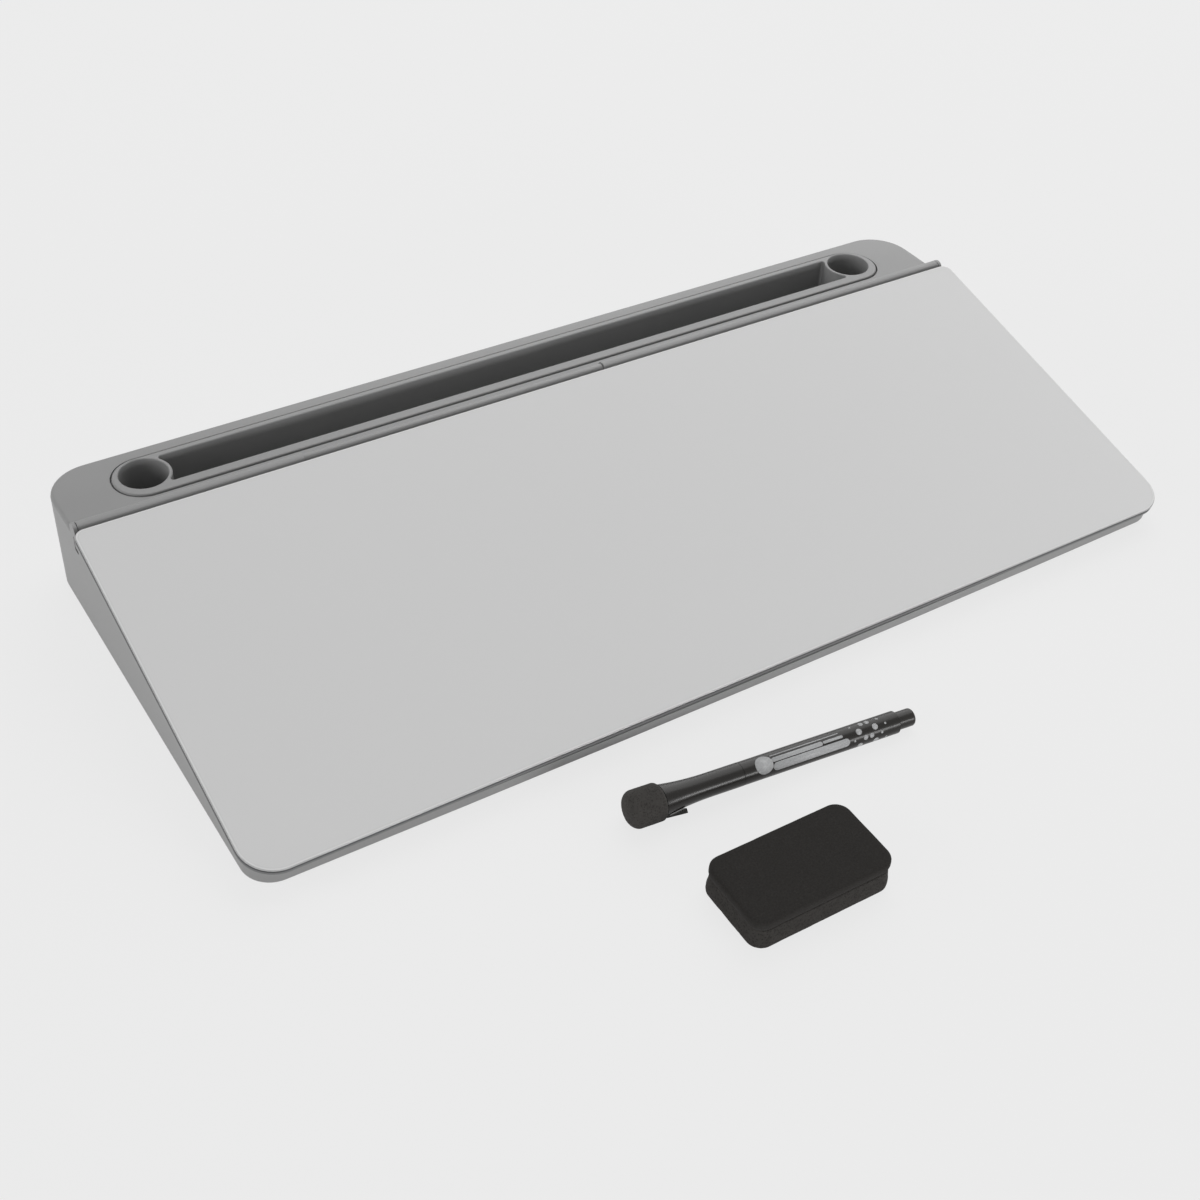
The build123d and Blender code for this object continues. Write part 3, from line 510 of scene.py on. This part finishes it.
def lights():
    """Even studio light: a broad scrim behind and above, two low lamps in front, a panel at the left."""
    world = bpy.data.worlds.new("studio")
    bpy.context.scene.world = world
    world.use_nodes = True
    tree = world.node_tree
    back = tree.nodes["Background"]
    back.inputs["Color"].default_value = (1.0, 1.0, 1.0, 1.0)
    back.inputs["Strength"].default_value = WORLD_LIGHT
    seen = tree.nodes.new("ShaderNodeBackground")
    seen.inputs["Color"].default_value = grey(PAPER_TONE)
    seen.inputs["Strength"].default_value = 1.0
    pick = tree.nodes.new("ShaderNodeMixShader")
    tree.links.new(plain_rays(tree), pick.inputs["Fac"])
    tree.links.new(back.outputs["Background"], pick.inputs[1])
    tree.links.new(seen.outputs["Background"], pick.inputs[2])
    tree.links.new(pick.outputs["Shader"], tree.nodes["World Output"].inputs["Surface"])
    for name, place, width, height, brightness in LAMPS:
        data = bpy.data.lights.new(name, "AREA")
        data.shape = "RECTANGLE"
        data.size = width
        data.size_y = height
        data.energy = math.pi * width * height * brightness
        item = bpy.data.objects.new(name, data)
        item.location = place
        item.rotation_euler = (LAMP_AIM - Vector(place)).to_track_quat("-Z", "Y").to_euler()
        bpy.context.scene.collection.objects.link(item)


def floor():
    """A pale table that keeps a soft shadow."""
    mesh = bpy.data.meshes.new("floor")
    corners = [(x * FLOOR_HALF, y * FLOOR_HALF, 0.0) for x, y in ((-1, -1), (1, -1), (1, 1), (-1, 1))]
    mesh.from_pydata(corners, [], [(0, 1, 2, 3)])
    item = bpy.data.objects.new("floor", mesh)
    bpy.context.scene.collection.objects.link(item)
    s = Surface("paper")
    fleck = s.noise(220.0, detail=2.0, rough=0.5)
    s.colour(s.mix(fleck, grey(PAPER_TONE - 1), grey(PAPER_TONE + 1)))
    s.roughness(s.span(fleck, 0.9, 1.0))
    s.set(Specular_IOR_Level=0.0)
    s.background(grey(PAPER_TONE), FLOOR_PLAIN_SHARE)
    mesh.materials.append(s.material)


def dress(node, material):
    """A CAD node gets its finished material."""
    data = nodes[node].data
    data.materials.clear()
    data.materials.append(material)


def dress_nodes():
    """Every CAD node gets its material, the hidden ones and those that a piece replaces too."""
    plastic = moulded_plastic("grey_plastic", PLASTIC_TONE)
    black = gloss_black("black_gloss_plastic")
    for node in ("base_housing", "lid_frame", "pen_tray"):
        dress(node, plastic)
    dress("bottom_cover", moulded_plastic("dark_grey_plastic", COVER_TONE))
    dress("cover_screws", steel("screw_steel", SCREW_TONE, stretch=(1.0, 1.0, 0.2)))
    dress("rubber_feet", rubber("foot_rubber", FOOT_TONE))
    dress("lid_bumpers", rubber("bumper_rubber", BUMPER_TONE))
    for side in ("left", "right"):
        dress("hinge_rod_" + side, steel("rod_steel_" + side, ROD_TONE, stretch=(0.05, 1.0, 1.0)))
    dress("glass_panel", white_glass())
    dress("backing_film", film("white_film", FILM_TONE))
    dress("mounting_tape", rubber("tape_foam", TAPE_TONE))
    for node in ("marker_cap", "marker_barrel"):
        dress(node, black)
    dress("marker_end_plug", gloss_black("black_satin_plastic", BLACK_TONE + 6))
    dress("nib_holder", moulded_plastic("natural_plastic", HOLDER_TONE))
    dress("marker_nib", fibre("nib_fibre", NIB_TONE))
    dress("ink_reservoir", fibre("reservoir_fibre", RESERVOIR_TONE))
    for node in ("marker_foam_tip", "eraser_body"):
        dress(node, foam("plain_foam_" + node, FOAM_TONE, PLAIN_PORES))
    dress("eraser_felt", felt("plain_felt", FELT_TONE))


def add_piece(name, points, faces, place, material, body):
    """A mesh piece, its points in millimetres before they are put in their place."""
    mesh = bpy.data.meshes.new(name)
    mesh.from_pydata([place @ (Vector(point) * MM) for point in points], [], faces)
    work = bmesh.new()
    work.from_mesh(mesh)
    bmesh.ops.remove_doubles(work, verts=work.verts, dist=WELD)
    bmesh.ops.dissolve_degenerate(work, edges=work.edges, dist=SHORTEST_EDGE)
    bmesh.ops.recalc_face_normals(work, faces=work.faces)
    work.to_mesh(mesh)
    work.free()
    for face in mesh.polygons:
        face.use_smooth = True
    mesh.materials.append(material)
    item = bpy.data.objects.new(name, mesh)
    bpy.context.scene.collection.objects.link(item)
    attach(item, body)
    return item


def ring_faces(rings, around):
    """Faces between rings of points that follow each other."""
    faces = []
    for ring in range(rings - 1):
        for step in range(around):
            after = (step + 1) % around
            first, second = ring * around, (ring + 1) * around
            faces.append((first + step, first + after, second + after, second + step))
    return faces


def pitted(point, size, depth):
    """How deep the skin of the foam is pitted here."""
    near = noise.voronoi(Vector(point) / size)[0][0]
    return depth * max(0.0, 1.0 - near / PIT_WIDTH)


def marker_matrix():
    """From the marker's own axis to its place on the desk."""
    turn = Matrix.Rotation(MARKER_HEADING, 4, "Z") @ Matrix.Rotation(MARKER_TILT, 4, "Y")
    return Matrix.Translation(MARKER_PLACE * MM) @ turn


def tip_skin():
    """Half outline of the foam tip as (station, radius): domed end, straight side, soft back."""
    outline = []
    flat = FOAM_RADIUS - FOAM_FRONT_ROUND
    for step in range(TIP_DOME_STEPS + 1):
        radius = flat * step / TIP_DOME_STEPS
        outline.append((FOAM_DOME * (radius / flat) ** 2, radius))
    for step in range(1, TIP_ROUND_STEPS + 1):
        angle = math.pi / 2 * step / TIP_ROUND_STEPS
        reach = (FOAM_FRONT_ROUND - FOAM_DOME) * (1.0 - math.cos(angle))
        outline.append((FOAM_DOME + reach, flat + FOAM_FRONT_ROUND * math.sin(angle)))
    side_end = FOAM_LENGTH - FOAM_BACK_ROUND
    for step in range(1, TIP_SIDE_STEPS):
        reach = (side_end - FOAM_FRONT_ROUND) * step / TIP_SIDE_STEPS
        outline.append((FOAM_FRONT_ROUND + reach, FOAM_RADIUS))
    for step in range(TIP_BACK_STEPS + 1):
        angle = math.pi / 2 * step / TIP_BACK_STEPS
        drop = FOAM_BACK_ROUND * (1.0 - math.cos(angle))
        outline.append((side_end + FOAM_BACK_ROUND * math.sin(angle), FOAM_RADIUS - drop))
    return outline


def tip_foam():
    """The marker's foam tip: a soft thimble with a pitted skin, hollow where the cap's spigot sits."""
    skin = tip_skin()
    bore_end = FOAM_LENGTH - FOAM_GRIP_LENGTH
    bore = [(FOAM_LENGTH, FOAM_GRIP_RADIUS), (bore_end, FOAM_GRIP_RADIUS), (bore_end, 0.0)]
    points = []
    for index, (station, radius) in enumerate(skin + bore):
        centre = min(max(station, FOAM_FRONT_ROUND), FOAM_LENGTH - FOAM_BACK_ROUND)
        for step in range(TIP_AROUND):
            angle = 2.0 * math.pi * step / TIP_AROUND
            point = Vector((station, radius * math.cos(angle), radius * math.sin(angle)))
            if index < len(skin):
                outward = (point - Vector((centre, 0.0, 0.0))).normalized()
                swell = TIP_SWELL * noise.noise(point * TIP_SWELL_RATE)
                point -= outward * (pitted(point, *TIP_PITS) + TIP_SKIN_INSET + swell)
            points.append(point)
    faces = ring_faces(len(skin + bore), TIP_AROUND)
    material = foam("tip_foam", TIP_TONE, TIP_PORES)
    item = add_piece("tip_foam", points, faces, marker_matrix(), material, "cap")
    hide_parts("marker_foam_tip")


def rounded_outline(inset, corner_radius, length):
    """Points round an outline of the eraser, the same count at every inset."""
    half_x = length / 2 - corner_radius
    half_y = ERASER_WIDTH / 2 - corner_radius
    radius = corner_radius - inset
    # The middle of each corner's arc, and whether a long side follows it
    corners = (
        (half_x, half_y, True),
        (-half_x, half_y, False),
        (-half_x, -half_y, True),
        (half_x, -half_y, False),
    )
    points = []
    for corner, (centre_x, centre_y, long_side) in enumerate(corners):
        for step in range(ERASER_CORNER_STEPS + 1):
            angle = math.pi / 2 * (corner + step / ERASER_CORNER_STEPS)
            points.append((centre_x + radius * math.cos(angle), centre_y + radius * math.sin(angle)))
        count = ERASER_LONG_STEPS if long_side else ERASER_SHORT_STEPS
        side = 2 * (half_x if long_side else half_y)
        turn = math.pi / 2 * (corner + 1)
        start_x, start_y = points[-1]
        for step in range(1, count):
            reach = side * step / count
            points.append((start_x - reach * math.sin(turn), start_y + reach * math.cos(turn)))
    return points


def closing_rings(loop, height, spine):
    """Rings that close a loop over its middle line, which reaches the spine's length either way."""
    rings = []
    for step in range(1, ERASER_CLOSING_STEPS + 1):
        keep = 1 - step / ERASER_CLOSING_STEPS
        ring = []
        for x, y in loop:
            middle = min(max(x, -spine), spine)
            ring.append((middle + (x - middle) * keep, y * keep))
        rings.append((ring, height))
    return rings


def eraser_layer(side, corner_radius, length, relief):
    """A closed layer of the eraser: its side rings, closed over its middle line above and below."""
    loops = [(rounded_outline(inset, corner_radius, length), height) for height, inset in side]
    spine = (length - ERASER_WIDTH) / 2
    below = list(reversed(closing_rings(*loops[0], spine)))
    rings = below + loops + closing_rings(*loops[-1], spine)
    points = [relief(Vector((x, y, height))) for ring, height in rings for x, y in ring]
    return points, ring_faces(len(rings), len(rings[0][0]))


def eraser_matrix():
    """From the eraser's own middle to its place on the desk."""
    low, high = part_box("eraser_body")
    middle = (Vector(low) + Vector(high)) / 2
    return Matrix.Translation((middle.x, middle.y, 0.0)) @ Matrix.Rotation(ERASER_TURN, 4, "Z")


def wavy(point, waves):
    """An uneven cut edge: the side moves inwards a little, never outwards."""
    for depth, size in waves:
        flat = Vector((point.x / (ERASER_LENGTH / 2), point.y / (ERASER_WIDTH / 2), 0.0))
        near_side = min(1.0, flat.length ** WAVE_FADE)
        drift = noise.noise(Vector((point.x, point.y, point.z * WAVE_UPRIGHT)) / size)
        point = point - flat.normalized() * depth * (0.5 + 0.5 * drift) * near_side
    return point


def foam_relief(point):
    """The foam block's skin: wavy sides with pits."""
    moved = wavy(point, FOAM_WAVES)
    if PITTED_FROM < point.z < PITTED_TO:
        outward = Vector((point.x, point.y, 0.0)).normalized()
        moved = moved - outward * pitted(point, *ERASER_PITS)
    return moved


def felt_relief(point):
    """The felt's skin: wavy sides and an uneven face."""
    moved = wavy(point, FELT_WAVES)
    if point.z > FELT_FACE_FROM:
        lift = -FELT_FACE_DROP
        for size, level, height in FELT_FACE_WAVES:
            lift += noise.noise(Vector((point.x, point.y, level)) / size) * height
        moved = moved + Vector((0.0, 0.0, lift))
    return moved


def eraser():
    """The eraser: a foam block that bulges towards the desk, and its felt, face up."""
    place = eraser_matrix()
    block_length = ERASER_LENGTH - ERASER_BODY_SHORT
    points, faces = eraser_layer(ERASER_BODY_SIDE, ERASER_FOOT_CORNER, block_length, foam_relief)
    material = foam("eraser_foam", FOAM_TONE, ERASER_PORES)
    block = add_piece("eraser_foam", points, faces, place, material, "eraser")
    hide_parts("eraser_body")
    points, faces = eraser_layer(ERASER_FELT_SIDE, ERASER_CORNER, ERASER_LENGTH, felt_relief)
    material = felt("eraser_felt_pad", FELT_TONE)
    pad = add_piece("eraser_pad", points, faces, place, material, "eraser")
    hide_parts("eraser_felt")


def bar_rows(half_length, radius, count):
    """Rows across a bar with round ends, as (across, half length); a disc has no straight part."""
    rows = []
    for step in range(count + 1):
        angle = math.pi * step / count
        rows.append((-radius * math.cos(angle), half_length + radius * math.sin(angle)))
    return rows


def barrel_patch(points, faces, station, angle, rows):
    """A thin printed patch that lies round the barrel, made of rows across it."""
    inner = BARREL_RADIUS + PRINT_LIFT
    outer = inner + PRINT_THICKNESS
    base = len(points)
    for radius in (inner, outer):
        for across, half in rows:
            turn = angle + across / BARREL_RADIUS
            y, z = -radius * math.sin(turn), radius * math.cos(turn)
            points.append((station - half, y, z))
            points.append((station + half, y, z))
    count = 2 * len(rows)
    for layer in (0, count):
        for row in range(0, count - 2, 2):
            start = base + layer + row
            faces.append((start, start + 1, start + 3, start + 2))
    for row in range(0, count - 2, 2):
        for side in (0, 1):
            start = base + row + side
            faces.append((start, start + 2, start + count + 2, start + count))
    for row in (0, count - 2):
        start = base + row
        faces.append((start, start + 1, start + count + 1, start + count))


def marker_print():
    """Plain generic print on the barrel: a disc, bars, and dots towards the tail."""
    points, faces = [], []
    for station, turn, half_length, half_width, count in PRINT_SHAPES:
        rows = bar_rows(half_length, half_width, count)
        barrel_patch(points, faces, station, PRINT_FACING + math.radians(turn), rows)
    for column in range(DOT_COLUMNS):
        angle = PRINT_FACING + math.radians(DOT_COLUMN_TURN * column + DOT_FIRST_TURN)
        for station, radius in DOTS[column % 2]:
            barrel_patch(points, faces, station, angle, bar_rows(0.0, radius, DOT_ROWS))
    add_piece("marker_print", points, faces, marker_matrix(), print_ink(), "marker")


camera()
lights()
floor()
dress_nodes()
tip_foam()
eraser()
marker_print()

bpy.context.scene.view_settings.view_transform = "Standard"
